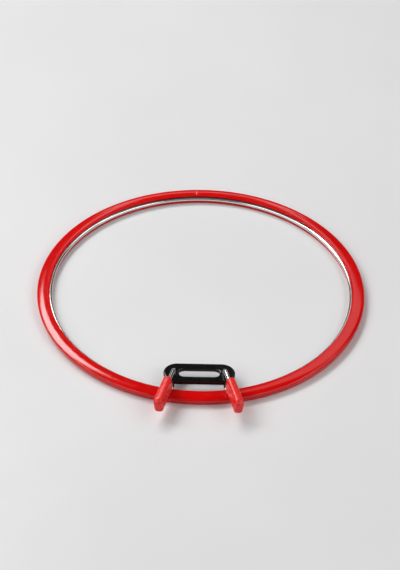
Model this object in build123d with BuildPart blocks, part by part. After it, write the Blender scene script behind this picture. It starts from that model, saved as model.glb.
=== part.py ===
from build123d import *
from math import cos, radians, sin, sqrt
import os

# Spring-tension embroidery hoop: a grooved plastic hoop, a spring wire ring
# that snaps into it, a slotted bridge plate and two finger grips.
# Origin at the hoop's centre on the face it rests on, grips towards -Y.
# Millimetres and degrees.

# Outer hoop
hoop_diameter = 190.0
hoop_band_width = 7.3
hoop_crown_radius = 30.0
hoop_crown_setback = 5.5
hoop_wall_lean = 0.75
hoop_shoulder_radius = 1.2
hoop_wall_radius = 0.6
hoop_foot_radius = 0.4
flange_thickness = 1.2
flange_reach = 1.1
flange_edge_radius = 0.3
lip_cover = 0.84
lip_thickness = 0.6
lip_tip_radius = 0.25
moulding_mark_length = 3.2
moulding_mark_width = 0.7
moulding_mark_setback = 4.4
moulding_mark_rise = 0.1
moulding_mark_angle = 92.3

# Spring wire
wire_diameter = 2.4
cloth_gap = 0.2
wire_bend_radius = 1.8
wire_corner_radius = 3.0
lower_arm_splay = 4.0
upper_arm_splay = 15.0
wire_split_gap = 0.05

# Bridge plate
plate_depth = 15.2
plate_thickness = 2.4
plate_end_reach = 5.9
plate_setback = 12.1
plate_lift = 0.9
plate_top_radius = 0.8
plate_foot_radius = 0.3
slot_length = 22.8
slot_width = 6.5
slot_rim_radius = 0.8
slot_end_wall = 1.44
pivot_clearance = 0.06
pivot_lead_in = 0.35
arm_gap = 1.0

# Finger grips
grip_length = 22.1
grip_height = 8.5
grip_plate_gap = 2.7
grip_hoop_gap = 0.3
grip_inner_thickness = 4.8
grip_outer_thickness = 5.1
grip_nose_bevel = 1.8
grip_toe_radius = 1.5
grip_heel_radius = 1.5
grip_bevel_radius = 1.5
grip_edge_radius = 1.5
grip_lean = 9.0
grip_bore_gap = 0.02
grip_bore_overrun = 0.5
grip_end_wall = 4.0

# Worked out from the sizes above
hoop_radius = hoop_diameter / 2
wire_radius = wire_diameter / 2
lip_radius = hoop_radius - hoop_band_width
flange_radius = lip_radius - flange_reach
ring_radius = lip_radius + lip_cover - wire_radius
ring_height = flange_thickness + cloth_gap + wire_radius
groove_radius = wire_radius + cloth_gap
groove_rise = sqrt(groove_radius**2 - (lip_radius - ring_radius) ** 2)
lip_height = ring_height + groove_rise + lip_thickness
crown_line = hoop_radius - hoop_crown_setback
crown_base = lip_height - sqrt(hoop_crown_radius**2 - (crown_line - lip_radius) ** 2)
shoulder_height = crown_base + sqrt(hoop_crown_radius**2 - hoop_crown_setback**2)
hoop_height = crown_base + hoop_crown_radius
pivot_radius = wire_radius + pivot_clearance
pivot_x = slot_length / 2 + slot_end_wall + pivot_radius
pivot_y = plate_setback - ring_radius
plate_length = 2 * (pivot_x + plate_end_reach)
plate_bottom = ring_height + wire_radius + plate_lift
plate_top = plate_bottom + plate_thickness
arm_height = plate_top + arm_gap + wire_radius
grip_setback = plate_depth / 2 + grip_plate_gap
grip_tip = grip_setback + grip_length
grip_bore_end = grip_tip - grip_end_wall
grip_side_reach = grip_outer_thickness / 2 - grip_edge_radius
grip_side_fall = grip_side_reach * sin(radians(grip_lean)) + grip_edge_radius * (1 - cos(radians(grip_lean)))
grip_drop = (arm_height - hoop_height - grip_hoop_gap - grip_side_fall) / cos(radians(grip_lean))
grip_rise = grip_height - grip_drop


def mirrored(point):
    return Vector(-point.X, point.Y, point.Z)


pivot_low = Vector(-pivot_x, pivot_y, ring_height)
pivot_high = Vector(-pivot_x, pivot_y, arm_height)
upper_arm = Vector(-sin(radians(upper_arm_splay)), -cos(radians(upper_arm_splay)), 0)
lower_arm = Vector(-sin(radians(lower_arm_splay)), -cos(radians(lower_arm_splay)), 0)
lower_arm_side = Vector(-cos(radians(lower_arm_splay)), sin(radians(lower_arm_splay)), 0)

# Each lower arm meets the ring in a corner arc, tangent to the arm and, from
# inside, to the ring's circle
ring_centre = Vector(0, 0, ring_height)
corner_start = pivot_low + lower_arm_side * wire_corner_radius - ring_centre
corner_orbit = ring_radius - wire_corner_radius
corner_along = corner_start.dot(lower_arm)
corner_reach = sqrt(corner_along**2 - corner_start.length**2 + corner_orbit**2) - corner_along
corner_centre = ring_centre + corner_start + lower_arm * corner_reach
arm_end = pivot_low + lower_arm * corner_reach
ring_end = ring_centre + (corner_centre - ring_centre).normalized() * ring_radius
corner_out = (arm_end - corner_centre + (ring_end - corner_centre)).normalized()
corner_middle = corner_centre + corner_out * wire_corner_radius

# Outer hoop: one turned section, with the groove that takes the wire between
# a thin lip above and a flange below
with BuildPart() as outer_hoop:
    with BuildSketch(Plane.XZ) as hoop_section:
        with BuildLine():
            Polyline(
                (ring_radius, flange_thickness),
                (flange_radius, flange_thickness),
                (flange_radius, 0),
                (hoop_radius - hoop_wall_lean, 0),
                (hoop_radius, shoulder_height - hoop_shoulder_radius - hoop_wall_radius / 2),
                (hoop_radius, shoulder_height),
            )
            ThreePointArc((hoop_radius, shoulder_height), (crown_line, hoop_height), (lip_radius, lip_height))
            Line((lip_radius, lip_height), (lip_radius, ring_height + groove_rise))
            ThreePointArc(
                (lip_radius, ring_height + groove_rise),
                (ring_radius + groove_radius, ring_height),
                (ring_radius, flange_thickness),
            )
        make_face()
        outer_corners = hoop_section.vertices().group_by(Axis.X)[-1].sort_by(Axis.Y)
        fillet(outer_corners[1], hoop_shoulder_radius)
        fillet(outer_corners[0], hoop_wall_radius)
        fillet(hoop_section.vertices().group_by(Axis.Y)[0].sort_by(Axis.X)[-1], hoop_foot_radius)
        fillet(hoop_section.vertices().group_by(Axis.X)[0], flange_edge_radius)
        fillet(hoop_section.vertices().sort_by(Axis.Y)[-1], lip_tip_radius)
    revolve(axis=Axis.Z)
    with BuildSketch(Plane.XY.offset(shoulder_height)):
        with PolarLocations(hoop_radius - moulding_mark_setback, 1, start_angle=moulding_mark_angle):
            SlotOverall(moulding_mark_length, moulding_mark_width)
    extrude(amount=hoop_height - shoulder_height + moulding_mark_rise)
outer_hoop.part.label = "outer_hoop"

# Spring ring: a round wire circle, open at the front
with BuildPart() as spring_ring:
    with BuildLine() as ring_path:
        ThreePointArc(arm_end, corner_middle, ring_end)
        ThreePointArc(ring_end, ring_centre + Vector(0, ring_radius, 0), mirrored(ring_end))
        ThreePointArc(mirrored(ring_end), mirrored(corner_middle), mirrored(arm_end))
    with BuildSketch(Plane(origin=ring_path.line @ 0, z_dir=ring_path.line % 0)):
        Circle(wire_radius)
    sweep(path=ring_path.line)
spring_ring.part.label = "spring_ring"

# Stiff wire ends: in under the plate, up through it and back out over the hoop
with BuildPart() as left_wire_end:
    with BuildLine() as arm_path:
        FilletPolyline(
            arm_end - lower_arm * wire_split_gap,
            pivot_low,
            pivot_high,
            pivot_high + upper_arm * (grip_bore_end - grip_bore_overrun),
            radius=wire_bend_radius,
        )
    with BuildSketch(Plane(origin=arm_path.line @ 0, z_dir=arm_path.line % 0)):
        Circle(wire_radius)
    sweep(path=arm_path.line)
left_wire_end.part.label = "left_wire_end"

with BuildPart() as right_wire_end:
    mirror(left_wire_end.part, about=Plane.YZ)
right_wire_end.part.label = "right_wire_end"

# Bridge plate: keeps the two pivots apart
with BuildPart() as bridge_plate:
    with BuildSketch(Plane.XY.offset(plate_bottom)):
        with Locations((0, pivot_y)):
            SlotOverall(plate_length, plate_depth)
            SlotOverall(slot_length, slot_width, mode=Mode.SUBTRACT)
    extrude(amount=plate_thickness)
    plate_face = bridge_plate.faces().sort_by(Axis.Z)[-1]
    fillet(plate_face.outer_wire().edges(), plate_top_radius)
    plate_face = bridge_plate.faces().sort_by(Axis.Z)[-1]
    fillet(plate_face.inner_wires().edges(), slot_rim_radius)
    plate_foot = bridge_plate.faces().sort_by(Axis.Z)[0]
    fillet(plate_foot.edges(), plate_foot_radius)
    with BuildSketch(Plane.XY.offset(plate_bottom)):
        with Locations((0, pivot_y)):
            with GridLocations(2 * pivot_x, 0, 2, 1):
                Circle(pivot_radius)
    extrude(amount=plate_thickness, mode=Mode.SUBTRACT)
    pivot_rims = bridge_plate.edges().filter_by(lambda edge: edge.is_closed)
    chamfer(pivot_rims, pivot_lead_in)
bridge_plate.part.label = "bridge_plate"

# Grips: slabs on edge, leaning about the wire, with a bevelled nose
grip_up = Vector(0, 0, 1).rotate(Axis((0, 0, 0), upper_arm), grip_lean)
grip_side = Plane(origin=pivot_high, x_dir=upper_arm, z_dir=upper_arm.cross(grip_up))
grip_plan = Plane(origin=pivot_high, x_dir=upper_arm, z_dir=grip_up)
with BuildPart() as left_grip:
    with BuildSketch(grip_side) as grip_outline:
        with BuildLine():
            Polyline(
                (grip_setback, -grip_drop),
                (grip_tip, -grip_drop),
                (grip_tip, grip_rise - grip_nose_bevel),
                (grip_tip - grip_nose_bevel, grip_rise),
                (grip_setback, grip_rise),
                close=True,
            )
        make_face()
        fillet(grip_outline.vertices().group_by(Axis.Y)[0].sort_by(Axis.X)[-1], grip_toe_radius)
        fillet(grip_outline.vertices().group_by(Axis.X)[0], grip_heel_radius)
        fillet(grip_outline.vertices().group_by(Axis.Y)[-1].sort_by(Axis.X)[-1], grip_bevel_radius)
        fillet(grip_outline.vertices().group_by(Axis.X)[-1].sort_by(Axis.Y)[-1], grip_bevel_radius)
    extrude(amount=grip_outer_thickness, both=True)
    with BuildSketch(grip_plan):
        with BuildLine():
            Polyline(
                (grip_setback, -grip_inner_thickness / 2),
                (grip_tip, -grip_outer_thickness / 2),
                (grip_tip, grip_outer_thickness / 2),
                (grip_setback, grip_inner_thickness / 2),
                close=True,
            )
        make_face()
    extrude(amount=grip_height, both=True, mode=Mode.INTERSECT)
    finger_faces = left_grip.faces().filter_by(GeomType.PLANE).sort_by(SortBy.AREA)[-2:]
    fillet(finger_faces.edges(), grip_edge_radius)
    with BuildSketch(Plane(origin=pivot_high, z_dir=upper_arm)):
        Circle(wire_radius + grip_bore_gap)
    extrude(amount=grip_bore_end, mode=Mode.SUBTRACT)
left_grip.part.label = "left_grip"

with BuildPart() as right_grip:
    mirror(left_grip.part, about=Plane.YZ)
right_grip.part.label = "right_grip"

os.makedirs("parts", exist_ok=True)
pieces = [outer_hoop, spring_ring, bridge_plate, left_wire_end, right_wire_end, left_grip, right_grip]
for piece in pieces:
    export_step(piece.part, f"parts/{piece.part.label}.step")
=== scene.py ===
import bpy
from math import acos, atan2, cos, pi, radians, sin, sqrt, tan
from mathutils import Matrix, Vector


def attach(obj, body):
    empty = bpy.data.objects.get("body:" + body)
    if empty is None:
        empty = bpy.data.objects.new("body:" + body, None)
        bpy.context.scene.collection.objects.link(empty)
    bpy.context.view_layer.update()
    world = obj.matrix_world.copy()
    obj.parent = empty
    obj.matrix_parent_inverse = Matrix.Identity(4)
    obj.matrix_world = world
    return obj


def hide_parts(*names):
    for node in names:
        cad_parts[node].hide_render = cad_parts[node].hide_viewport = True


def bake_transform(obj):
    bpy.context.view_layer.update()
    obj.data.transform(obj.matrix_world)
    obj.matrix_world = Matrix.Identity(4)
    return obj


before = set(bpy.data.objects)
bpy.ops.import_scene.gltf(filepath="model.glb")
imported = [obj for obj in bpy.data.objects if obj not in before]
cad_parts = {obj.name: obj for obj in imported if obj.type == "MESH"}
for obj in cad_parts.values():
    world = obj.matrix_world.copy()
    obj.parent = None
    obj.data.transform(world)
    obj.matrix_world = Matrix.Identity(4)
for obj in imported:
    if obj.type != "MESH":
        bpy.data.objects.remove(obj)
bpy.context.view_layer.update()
mm = 0.001
print("frame loaded:", ", ".join(sorted(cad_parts)))

camera = {
    "aim": (-0.00055, 0.00886, 0.0),
    "distance": 1.4188,
    "elevation": 39.97,
    "roll": 1.095,
    "lens": 153.3,
    "sensor": 36.0,
}


def addCamera(size):
    tilt, roll = radians(size["elevation"]), radians(size["roll"])
    ahead = Vector((0, cos(tilt), -sin(tilt)))
    side = Vector((1, 0, 0))
    above = side.cross(ahead)
    imageRight = side * cos(roll) + above * sin(roll)
    imageUp = above * cos(roll) - side * sin(roll)
    data = bpy.data.cameras.new("studioCamera")
    data.lens = size["lens"]
    data.sensor_width = size["sensor"]
    cam = bpy.data.objects.new("studioCamera", data)
    bpy.context.scene.collection.objects.link(cam)
    turn = Matrix((imageRight, imageUp, -ahead)).transposed().to_4x4()
    cam.matrix_world = Matrix.Translation(Vector(size["aim"]) - ahead * size["distance"]) @ turn
    bpy.context.scene.camera = cam
    bpy.context.scene.view_settings.view_transform = "Standard"  # keeps the red as deep as it is


addCamera(camera)
print("camera placed")

light = {
    "skyColour": (0.93, 0.95, 1.0, 1.0),
    "skyStrength": 0.045,
    "reach": 2.2,
    "panels": {
        # name: bearing from straight behind, height, width, tallness, brightness, colour
        "keySoftbox": (-33.2, 46.3, 29.0, 12.6, 10.4, (1.0, 0.985, 0.97)),
        "dullPanel": (13.0, 45.0, 13.0, 13.0, 0.95, (1.0, 0.98, 0.97)),
        "backStrip": (0.0, 28.3, 16.0, 3.0, 1.9, (1.0, 0.99, 1.0)),
        "leftBar": (-5.8, 34.5, 1.5, 10.0, 2.2, (1.0, 0.99, 1.0)),
        "rightBar": (5.8, 34.0, 1.8, 10.0, 1.8, (1.0, 0.99, 1.0)),
        "leftSoftbox": (-68.0, 43.0, 20.0, 26.0, 6.8, (0.97, 0.985, 1.0)),
        "rightSoftbox": (68.0, 47.0, 24.0, 26.0, 2.1, (1.0, 0.99, 0.98)),
        "frontFill": (180.0, 48.0, 40.0, 20.0, 0.5, (1.0, 0.99, 0.98)),
        "leftFrontFill": (-122.0, 34.0, 44.0, 30.0, 2.1, (1.0, 0.99, 0.98)),
        "rightFrontFill": (122.0, 34.0, 44.0, 30.0, 2.1, (1.0, 0.99, 0.98)),
    },
}


def addPanel(name, bearing, rise, wide, tall, brightness, colour, reach):
    # a soft panel seen from the object's middle under the given angles
    data = bpy.data.lights.new(name, "AREA")
    data.shape = "RECTANGLE"
    data.size = 2 * reach * tan(radians(wide / 2))
    data.size_y = 2 * reach * tan(radians(tall / 2))
    data.energy = brightness * pi * data.size * data.size_y
    data.color = colour
    lamp = bpy.data.objects.new(name, data)
    bpy.context.scene.collection.objects.link(lamp)
    turn, up = radians(bearing), radians(rise)
    lamp.location = Vector((sin(turn) * cos(up), cos(turn) * cos(up), sin(up))) * reach
    lamp.rotation_euler = (-lamp.location).to_track_quat("-Z", "Y").to_euler()


def addSky(size):
    world = bpy.data.worlds.new("studioSky")
    world.use_nodes = True
    background = world.node_tree.nodes["Background"]
    background.inputs["Color"].default_value = size["skyColour"]
    background.inputs["Strength"].default_value = size["skyStrength"]
    bpy.context.scene.world = world


addSky(light)
for name, panel in light["panels"].items():
    addPanel(name, *panel, light["reach"])
print("lights placed")


def newMaterial(name, base, roughness, metallic):
    mat = bpy.data.materials.new(name)
    mat.use_nodes = True
    shader = mat.node_tree.nodes["Principled BSDF"]
    shader.inputs["Base Color"].default_value = (*base, 1)
    shader.inputs["Roughness"].default_value = roughness
    shader.inputs["Metallic"].default_value = metallic
    return mat, mat.node_tree, shader


def addNoise(tree, scale, detail=3):
    place = tree.nodes.new("ShaderNodeTexCoord")
    noise = tree.nodes.new("ShaderNodeTexNoise")
    noise.inputs["Scale"].default_value = scale
    noise.inputs["Detail"].default_value = detail
    tree.links.new(place.outputs["Object"], noise.inputs["Vector"])
    return noise.outputs["Fac"]


noiseLow, noiseHigh = 0.3, 0.7  # most of a noise texture's values lie between these


def spread(tree, value, low, high, target):
    ranged = tree.nodes.new("ShaderNodeMapRange")
    ranged.inputs["From Min"].default_value = noiseLow
    ranged.inputs["From Max"].default_value = noiseHigh
    ranged.inputs["To Min"].default_value = low
    ranged.inputs["To Max"].default_value = high
    tree.links.new(value, ranged.inputs["Value"])
    tree.links.new(ranged.outputs["Result"], target)


def tint(tree, value, dark, pale, target):
    ramp = tree.nodes.new("ShaderNodeValToRGB")
    ramp.color_ramp.elements[0].position = noiseLow
    ramp.color_ramp.elements[0].color = (*dark, 1)
    ramp.color_ramp.elements[1].position = noiseHigh
    ramp.color_ramp.elements[1].color = (*pale, 1)
    tree.links.new(value, ramp.inputs["Fac"])
    tree.links.new(ramp.outputs["Color"], target)


def addBump(tree, value, height, strength, shader, under=None):
    bump = tree.nodes.new("ShaderNodeBump")
    bump.inputs["Strength"].default_value = strength
    bump.inputs["Distance"].default_value = height
    tree.links.new(value, bump.inputs["Height"])
    if under is not None:
        tree.links.new(under, bump.inputs["Normal"])
    tree.links.new(bump.outputs["Normal"], shader.inputs["Normal"])
    return bump.outputs["Normal"]


finishes = {
    # bumps: noise scale, detail, height in mm, strength
    "glossyHoopRed": {
        "dark": (0.64, 0.0005, 0.0006),
        "pale": (0.72, 0.0011, 0.001),
        "patchScale": 35,
        "roughness": (0.08, 0.13),
        "roughnessScale": 260,
        "bumps": ((90, 2, 0.08, 0.25), (2600, 2, 0.006, 0.2)),  # the mould's slow waves, then its grain
    },
    "trimmedHoopRed": {  # paler where the moulding stub was cut off
        "dark": (0.72, 0.08, 0.07),
        "pale": (0.95, 0.34, 0.3),
        "patchScale": 2400,
        "roughness": (0.3, 0.5),
        "roughnessScale": 1800,
        "bumps": ((4200, 3, 0.02, 0.4),),
    },
    "brightNickelPlate": {
        "dark": (0.78, 0.77, 0.76),
        "pale": (0.82, 0.81, 0.8),
        "patchScale": 120,
        "roughness": (0.09, 0.14),
        "roughnessScale": 900,
        "bumps": ((1500, 3, 0.002, 0.05),),
        "metallic": 1.0,
    },
    "glossyPlateBlack": {
        "dark": (0.0022, 0.0018, 0.0018),
        "pale": (0.004, 0.0033, 0.0032),
        "patchScale": 150,
        "roughness": (0.1, 0.16),
        "roughnessScale": 500,
        "roughnessDetail": 5,
        "bumps": ((420, 2, 0.03, 0.15),),
    },
    "satinGripRed": {
        "dark": (0.82, 0.017, 0.014),
        "pale": (0.9, 0.028, 0.023),
        "patchScale": 130,
        "roughness": (0.24, 0.33),
        "roughnessScale": 700,
        "bumps": ((5200, 2, 0.012, 0.2),),  # fine spark-eroded texture
    },
    "paleFloor": {
        "dark": (0.78, 0.78, 0.79),
        "pale": (0.82, 0.82, 0.825),
        "patchScale": 6,
        "roughness": (0.38, 0.46),
        "roughnessScale": 40,
        "bumps": (),
    },
}


def makeFinish(name, size):
    middle = [(dark + pale) / 2 for dark, pale in zip(size["dark"], size["pale"])]
    mat, tree, shader = newMaterial(name, middle, sum(size["roughness"]) / 2, size.get("metallic", 0.0))
    patches = addNoise(tree, size["patchScale"])
    tint(tree, patches, size["dark"], size["pale"], shader.inputs["Base Color"])
    grain = addNoise(tree, size["roughnessScale"], size.get("roughnessDetail", 3))
    spread(tree, grain, *size["roughness"], shader.inputs["Roughness"])
    normal = None
    for scale, detail, height, strength in size["bumps"]:
        normal = addBump(tree, addNoise(tree, scale, detail), height * mm, strength, shader, normal)
    return mat


made = {name: makeFinish(name, size) for name, size in finishes.items()}
hoopPlastic, markFinish = made["glossyHoopRed"], made["trimmedHoopRed"]
wirePlating, platePlastic = made["brightNickelPlate"], made["glossyPlateBlack"]
gripPlastic, floorFinish = made["satinGripRed"], made["paleFloor"]
print("materials made")


def newObject(name, mesh):
    obj = bpy.data.objects.new(name, mesh)
    bpy.context.scene.collection.objects.link(obj)
    return obj


def pathObject(name, points, closed=False):
    curve = bpy.data.curves.new(name, "CURVE")
    curve.dimensions = "3D"
    spline = curve.splines.new("POLY")
    spline.points.add(len(points) - 1)
    for place, point in zip(spline.points, points):
        place.co = (*point, 1)
    spline.use_cyclic_u = closed
    return newObject(name, curve)


def addInput(tree, name, kind):
    return tree.interface.new_socket(name=name, in_out="INPUT", socket_type=kind)


def startTree(name, sizes):
    tree = bpy.data.node_groups.new(name, "GeometryNodeTree")
    addInput(tree, "Geometry", "NodeSocketGeometry")
    for label, kind in sizes:
        addInput(tree, label, kind)
    tree.interface.new_socket(name="Geometry", in_out="OUTPUT", socket_type="NodeSocketGeometry")
    return tree, tree.nodes.new("NodeGroupInput"), tree.nodes.new("NodeGroupOutput")


def endTree(tree, geometry, source, output):
    realize = tree.nodes.new("GeometryNodeRealizeInstances")
    finish = tree.nodes.new("GeometryNodeSetMaterial")
    tree.links.new(geometry, realize.inputs["Geometry"])
    tree.links.new(realize.outputs["Geometry"], finish.inputs["Geometry"])
    tree.links.new(source.outputs["Material"], finish.inputs["Material"])
    tree.links.new(finish.outputs["Geometry"], output.inputs["Geometry"])


def runTree(obj, tree, values, finalName):
    modifier = obj.modifiers.new("shape", "NODES")
    modifier.node_group = tree
    for item in tree.interface.items_tree:
        if item.item_type == "SOCKET" and item.in_out == "INPUT" and item.name in values:
            modifier[item.identifier] = values[item.name]
    bpy.context.view_layer.update()
    graph = bpy.context.evaluated_depsgraph_get()
    mesh = bpy.data.meshes.new_from_object(obj.evaluated_get(graph), depsgraph=graph)
    obj.modifiers.remove(modifier)
    source = obj.data
    bpy.data.objects.remove(obj)
    bpy.data.curves.remove(source)
    mesh.name = finalName
    return newObject(finalName, mesh)


def arcPoints(centre, radius, start, end, count):
    steps = [start + (end - start) * i / count for i in range(count + 1)]
    return [(centre[0] + radius * cos(a), centre[1] + radius * sin(a)) for a in steps]


def roundedOutline(corners, steps=7):
    # corners are (x, y, radius); a radius of zero keeps the point as it is
    outline = []
    for i, (x, y, radius) in enumerate(corners):
        here = Vector((x, y))
        if radius == 0:
            outline.append((x, y))
            continue
        back = (Vector(corners[i - 1][:2]) - here).normalized()
        ahead = (Vector(corners[(i + 1) % len(corners)][:2]) - here).normalized()
        half = acos(max(-1, min(1, back.dot(ahead)))) / 2
        middle = here + (back + ahead).normalized() * radius / sin(half)
        cut = radius / tan(half)
        first, last = here + back * cut, here + ahead * cut
        a = atan2(first.y - middle.y, first.x - middle.x)
        b = atan2(last.y - middle.y, last.x - middle.x)
        while b - a > pi:
            b -= 2 * pi
        while b - a < -pi:
            b += 2 * pi
        outline += arcPoints(middle, radius, a, b, steps)
    return outline


hoop = {
    "outerRadius": 95.0,
    "lipRadius": 87.7,
    "flangeRadius": 86.6,
    "lipHeight": 4.553,
    "crownRadius": 30.0,
    "crownSetback": 5.5,  # crown's top line, in from the outer wall
    "wallLean": 0.75,
    "shoulder": 1.2,
    "wallRadius": 0.6,
    "foot": 0.4,
    "flangeThickness": 1.2,
    "flangeEdge": 0.3,
    "lipTip": 0.25,
    "grooveRadius": 1.4,
    "segments": 360,
    "crownSteps": 14,
    "grooveSteps": 20,
    "markAngle": 92.3,
    "markSetback": 4.4,
    "markLength": 3.2,
    "markWidth": 0.7,
    "markRise": 0.09,
    "markFoot": 0.15,  # how deep the mark sits in the crown
    "markSteps": 10,
    "markLayers": ((0.0, 0.3), (0.05, 0.72), (0.13, 0.94), (0.22, 1.0)),  # inset, part of the rise
}
wire = {
    "diameter": 2.4,
    "ringRadius": 87.34,
    "ringHeight": 2.6,
    "armHeight": 9.3,
    "cornerRadius": 3.0,
    "bendRadius": 1.8,
    "lowerSplay": 4.0,
    "upperSplay": 15.0,
    "pivot": (14.1, 75.24),
    "armLength": 27.9,
    "sides": 28,
    "ringSteps": 300,
    "cornerSteps": 14,
    "bendSteps": 12,
    "bendFrom": (19.2, 85.2),  # where the ring would start to follow the lever; nothing here reads it
    "bendReach": 1.8,
    "bendTurn": 77.5,
}


def crownHeight(size, radius):
    crownLine = size["outerRadius"] - size["crownSetback"]
    crown = size["crownRadius"]
    centre = size["lipHeight"] - sqrt(crown ** 2 - (crownLine - size["lipRadius"]) ** 2)
    return centre + sqrt(crown ** 2 - (radius - crownLine) ** 2)


def hoopSection(size):
    # (radius, height) round the section, starting at the groove's lower edge
    outer, lip = size["outerRadius"], size["lipRadius"]
    shoulderHeight = crownHeight(size, outer)
    grooveRise = sqrt(size["grooveRadius"] ** 2 - (lip - wire["ringRadius"]) ** 2)
    edge, steps = outer - size["shoulder"], size["crownSteps"]
    step = (edge - lip - size["lipTip"]) / steps
    top = [(r, crownHeight(size, r), 0) for r in (edge - i * step for i in range(1, steps))]
    corners = [
        (wire["ringRadius"], size["flangeThickness"], 0),
        (size["flangeRadius"], size["flangeThickness"], size["flangeEdge"]),
        (size["flangeRadius"], 0, size["flangeEdge"]),
        (outer - size["wallLean"], 0, size["foot"]),
        (outer, shoulderHeight - size["shoulder"] - size["wallRadius"] / 2, size["wallRadius"]),
        (outer, shoulderHeight, size["shoulder"]),
        *top,
        (lip, size["lipHeight"], size["lipTip"]),
    ]
    outline = roundedOutline(corners)
    middle = (wire["ringRadius"], wire["ringHeight"])
    start = atan2(grooveRise, lip - wire["ringRadius"])
    groove = arcPoints(middle, size["grooveRadius"], start, -pi / 2, size["grooveSteps"])
    return outline + groove[:-1]


def makeSpunTree():
    # spins the object's own closed section round Z
    tree, source, output = startTree(
        "spunSection",
        [
            ("Segments", "NodeSocketInt"),
            ("Circle Radius", "NodeSocketFloat"),
            ("Material", "NodeSocketMaterial"),
        ],
    )
    circle = tree.nodes.new("GeometryNodeCurvePrimitiveCircle")
    sweep = tree.nodes.new("GeometryNodeCurveToMesh")
    outward = tree.nodes.new("GeometryNodeFlipFaces")
    tree.links.new(source.outputs["Segments"], circle.inputs["Resolution"])
    tree.links.new(source.outputs["Circle Radius"], circle.inputs["Radius"])
    tree.links.new(circle.outputs["Curve"], sweep.inputs["Curve"])
    tree.links.new(source.outputs["Geometry"], sweep.inputs["Profile Curve"])
    tree.links.new(sweep.outputs["Mesh"], outward.inputs["Mesh"])
    endTree(tree, outward.outputs["Mesh"], source, output)
    return tree


def makeHoop(size):
    # the section's Y points down once it is swept
    section = [((r - size["lipRadius"]) * mm, -h * mm, 0) for r, h in hoopSection(size)]
    profile = pathObject("hoopSection", section, closed=True)
    values = {
        "Segments": size["segments"],
        "Circle Radius": size["lipRadius"] * mm,
        "Material": hoopPlastic,
    }
    return runTree(profile, makeSpunTree(), values, "hoopBand")


hoopBand = makeHoop(hoop)
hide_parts("outer_hoop")
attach(hoopBand, "hoop")


def makeMark(size):
    # a low raised bar across the crown, left where the mould was filled
    end = size["markWidth"] / 2
    half = size["markLength"] / 2 - end
    middle = size["outerRadius"] - size["markSetback"]
    away = radians(size["markAngle"])
    layers = [(0.0, -size["markFoot"])]
    layers += [(inset, part * size["markRise"]) for inset, part in size["markLayers"]]
    points, faces = [], []
    for inset, lift in layers:
        outline = arcPoints((half, 0), end - inset, -pi / 2, pi / 2, size["markSteps"])
        outline += arcPoints((-half, 0), end - inset, pi / 2, 3 * pi / 2, size["markSteps"])
        for along, aside in outline:
            radius = middle + along
            height = crownHeight(size, radius) + lift
            x, y = radius * cos(away) - aside * sin(away), radius * sin(away) + aside * cos(away)
            points.append((x * mm, y * mm, height * mm))
    count = len(points) // len(layers)
    for layer in range(len(layers) - 1):
        for i in range(count):
            a, b = layer * count + i, layer * count + (i + 1) % count
            faces.append((a, b, b + count, a + count))
    faces.append(tuple(range(count))[::-1])
    faces.append(tuple(range(len(points) - count, len(points))))
    mesh = bpy.data.meshes.new("mouldingMark")
    mesh.from_pydata(points, [], faces)
    mesh.materials.append(markFinish)
    mesh.shade_smooth()
    return newObject("mouldingMark", mesh)


mark = makeMark(hoop)
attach(mark, "hoop")
print("hoop made")


def lowerArmEnds(size):
    # where the left lower arm leaves the corner arc, and where the arc meets the ring
    pivot = Vector((-size["pivot"][0], -size["pivot"][1]))
    splay = radians(size["lowerSplay"])
    along = Vector((-sin(splay), -cos(splay)))
    aside = Vector((-cos(splay), sin(splay)))
    start = pivot + aside * size["cornerRadius"]
    orbit = size["ringRadius"] - size["cornerRadius"]
    reach = sqrt(start.dot(along) ** 2 - start.length_squared + orbit ** 2) - start.dot(along)
    centre = start + along * reach
    return pivot + along * reach, centre, centre.normalized() * size["ringRadius"]


def springPath(size):
    # left half of the ring, from the far side round to the lower arm
    armEnd, centre, ringEnd = lowerArmEnds(size)
    ringStop = atan2(ringEnd.y, ringEnd.x) + 2 * pi
    corner = atan2(armEnd.y - centre.y, armEnd.x - centre.x)
    points = arcPoints((0, 0), size["ringRadius"], pi / 2, ringStop, size["ringSteps"])
    bend = arcPoints(centre, size["cornerRadius"], ringStop, corner + 2 * pi, size["cornerSteps"])
    points += bend[1:]
    return [(x * mm, y * mm, size["ringHeight"] * mm) for x, y in points]


def armPath(size):
    armEnd = lowerArmEnds(size)[0]
    pivot = Vector((-size["pivot"][0], -size["pivot"][1]))
    splay = radians(size["upperSplay"])
    tip = pivot + Vector((-sin(splay), -cos(splay))) * size["armLength"]
    low, high = size["ringHeight"], size["armHeight"]
    corners = [
        (armEnd.x, armEnd.y, low),
        (pivot.x, pivot.y, low),
        (pivot.x, pivot.y, high),
        (tip.x, tip.y, high),
    ]
    return [(x * mm, y * mm, z * mm) for x, y, z in corners]


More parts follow.
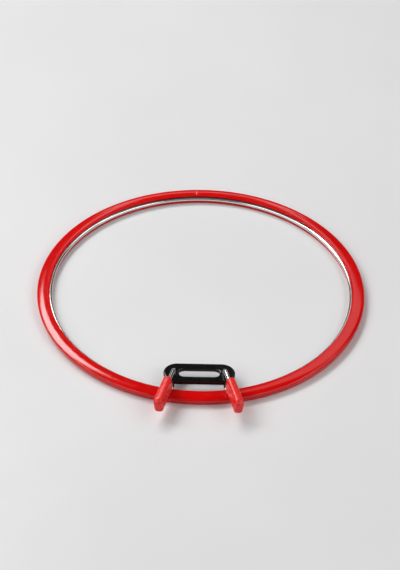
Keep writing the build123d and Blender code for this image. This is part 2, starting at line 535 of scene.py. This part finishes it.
def makeTubeTree():
    # a round wire along the object's own path, its corners bent to one radius
    tree, source, output = startTree(
        "wireTube",
        [
            ("Wire Diameter", "NodeSocketFloat"),
            ("Bend Corners", "NodeSocketBool"),
            ("Bend Radius", "NodeSocketFloat"),
            ("Bend Steps", "NodeSocketInt"),
            ("Sides", "NodeSocketInt"),
            ("Material", "NodeSocketMaterial"),
        ],
    )
    bend = tree.nodes.new("GeometryNodeFilletCurve")
    bend.mode = "POLY"
    choose = tree.nodes.new("GeometryNodeSwitch")
    choose.input_type = "GEOMETRY"
    section = tree.nodes.new("GeometryNodeCurvePrimitiveCircle")
    halve = tree.nodes.new("ShaderNodeMath")
    halve.operation = "MULTIPLY"
    halve.inputs[1].default_value = 1 / 2
    sweep = tree.nodes.new("GeometryNodeCurveToMesh")
    sweep.inputs["Fill Caps"].default_value = True
    tree.links.new(source.outputs["Geometry"], bend.inputs["Curve"])
    tree.links.new(source.outputs["Bend Radius"], bend.inputs["Radius"])
    tree.links.new(source.outputs["Bend Steps"], bend.inputs["Count"])
    tree.links.new(source.outputs["Wire Diameter"], halve.inputs[0])
    tree.links.new(halve.outputs[0], section.inputs["Radius"])
    tree.links.new(source.outputs["Sides"], section.inputs["Resolution"])
    tree.links.new(source.outputs["Bend Corners"], choose.inputs["Switch"])
    tree.links.new(source.outputs["Geometry"], choose.inputs["False"])
    tree.links.new(bend.outputs["Curve"], choose.inputs["True"])
    tree.links.new(choose.outputs["Output"], sweep.inputs["Curve"])
    tree.links.new(section.outputs["Curve"], sweep.inputs["Profile Curve"])
    faceSize = tree.nodes.new("GeometryNodeInputMeshFaceNeighbors")
    isCap = tree.nodes.new("FunctionNodeCompare")
    isCap.data_type = "INT"
    isCap.operation = "GREATER_THAN"
    isCap.inputs[3].default_value = 4  # only the caps have more corners
    flatCaps = tree.nodes.new("GeometryNodeSetShadeSmooth")
    flatCaps.inputs["Shade Smooth"].default_value = False
    tree.links.new(faceSize.outputs["Vertex Count"], isCap.inputs[2])
    tree.links.new(sweep.outputs["Mesh"], flatCaps.inputs["Geometry"])
    tree.links.new(isCap.outputs["Result"], flatCaps.inputs["Selection"])
    endTree(tree, flatCaps.outputs["Geometry"], source, output)
    return tree


tubeTree = makeTubeTree()


def makeWire(name, points, size, mirror, bent):
    path = pathObject(name + "Path", [(-x if mirror else x, y, z) for x, y, z in points])
    values = {
        "Wire Diameter": size["diameter"] * mm,
        "Bend Corners": bent,
        "Bend Radius": size["bendRadius"] * mm,
        "Bend Steps": size["bendSteps"],
        "Sides": size["sides"],
        "Material": wirePlating,
    }
    piece = runTree(path, tubeTree, values, name)
    return piece


for side, mirror in (("left", False), ("right", True)):
    spring = makeWire(side + "Spring", springPath(wire), wire, mirror, False)
    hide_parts("spring_ring")
    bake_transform(spring)
    arm = makeWire(side + "Arm", armPath(wire), wire, mirror, True)
    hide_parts(side + "_wire_end")
    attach(arm, side + "_lever")
print("spring wire made")

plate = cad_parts["bridge_plate"].data
plate.materials.clear()
plate.materials.append(platePlastic)
print("plate finished")

grip = {
    "voxel": 0.22,
    "weld": 0.001,
    "boreKeep": 2.0,  # skin nearer the wire than this is left as it is
    "rounds": 80,
    "pull": 0.5,
    "wireRest": 1.0,  # the wire's last stretch, where the skin may soften again
}


def shapedMesh(obj, finalName):
    graph = bpy.context.evaluated_depsgraph_get()
    mesh = bpy.data.meshes.new_from_object(obj.evaluated_get(graph), depsgraph=graph)
    mesh.name = finalName
    return mesh


def makeGrip(side, mirror, size):
    # the CAD grip with its corners worn to a softer moulded round, the wire's hole kept
    name = side + "GripMoulding"
    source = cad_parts[side + "_grip"].data.copy()
    piece = newObject(name, source)
    weld = piece.modifiers.new("weld", "WELD")
    weld.merge_threshold = size["weld"] * mm
    remesh = piece.modifiers.new("remesh", "REMESH")
    remesh.mode = "VOXEL"
    remesh.voxel_size = size["voxel"] * mm
    remesh.use_smooth_shade = True
    piece.data = shapedMesh(piece, name)
    piece.modifiers.clear()
    bpy.data.meshes.remove(source)
    sign, splay = (1 if mirror else -1), radians(wire["upperSplay"])
    pivot = Vector((sign * wire["pivot"][0], -wire["pivot"][1], wire["armHeight"])) * mm
    way = Vector((sign * sin(splay), -cos(splay), 0))
    skin = piece.vertex_groups.new(name="skin")
    for point in piece.data.vertices:
        reach = point.co - pivot
        beside, along = (reach - way * reach.dot(way)).length, reach.dot(way)
        if beside > size["boreKeep"] * mm or along > (wire["armLength"] - size["wireRest"]) * mm:
            skin.add([point.index], 1.0, "REPLACE")
    soften = piece.modifiers.new("soften", "SMOOTH")
    soften.factor = size["pull"]
    soften.iterations = size["rounds"]
    soften.vertex_group = "skin"
    rough = piece.data
    piece.data = shapedMesh(piece, name)
    piece.modifiers.clear()
    piece.vertex_groups.clear()
    bpy.data.meshes.remove(rough)
    piece.data.materials.clear()
    piece.data.materials.append(gripPlastic)
    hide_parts(side + "_grip")
    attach(piece, side + "_lever")


for side, mirror in (("left", False), ("right", True)):
    makeGrip(side, mirror, grip)
print("grips made")


def makeFloor(size):
    mesh = bpy.data.meshes.new("studioFloor")
    half, low = size["half"], size["height"]
    corners = [(-half, -half, low), (half, -half, low), (half, half, low), (-half, half, low)]
    mesh.from_pydata(corners, [], [(0, 1, 2, 3)])
    mesh.materials.append(floorFinish)
    floor = newObject("studioFloor", mesh)
    return floor


makeFloor({"half": 6.0, "height": -0.02 * mm})
print("floor laid")
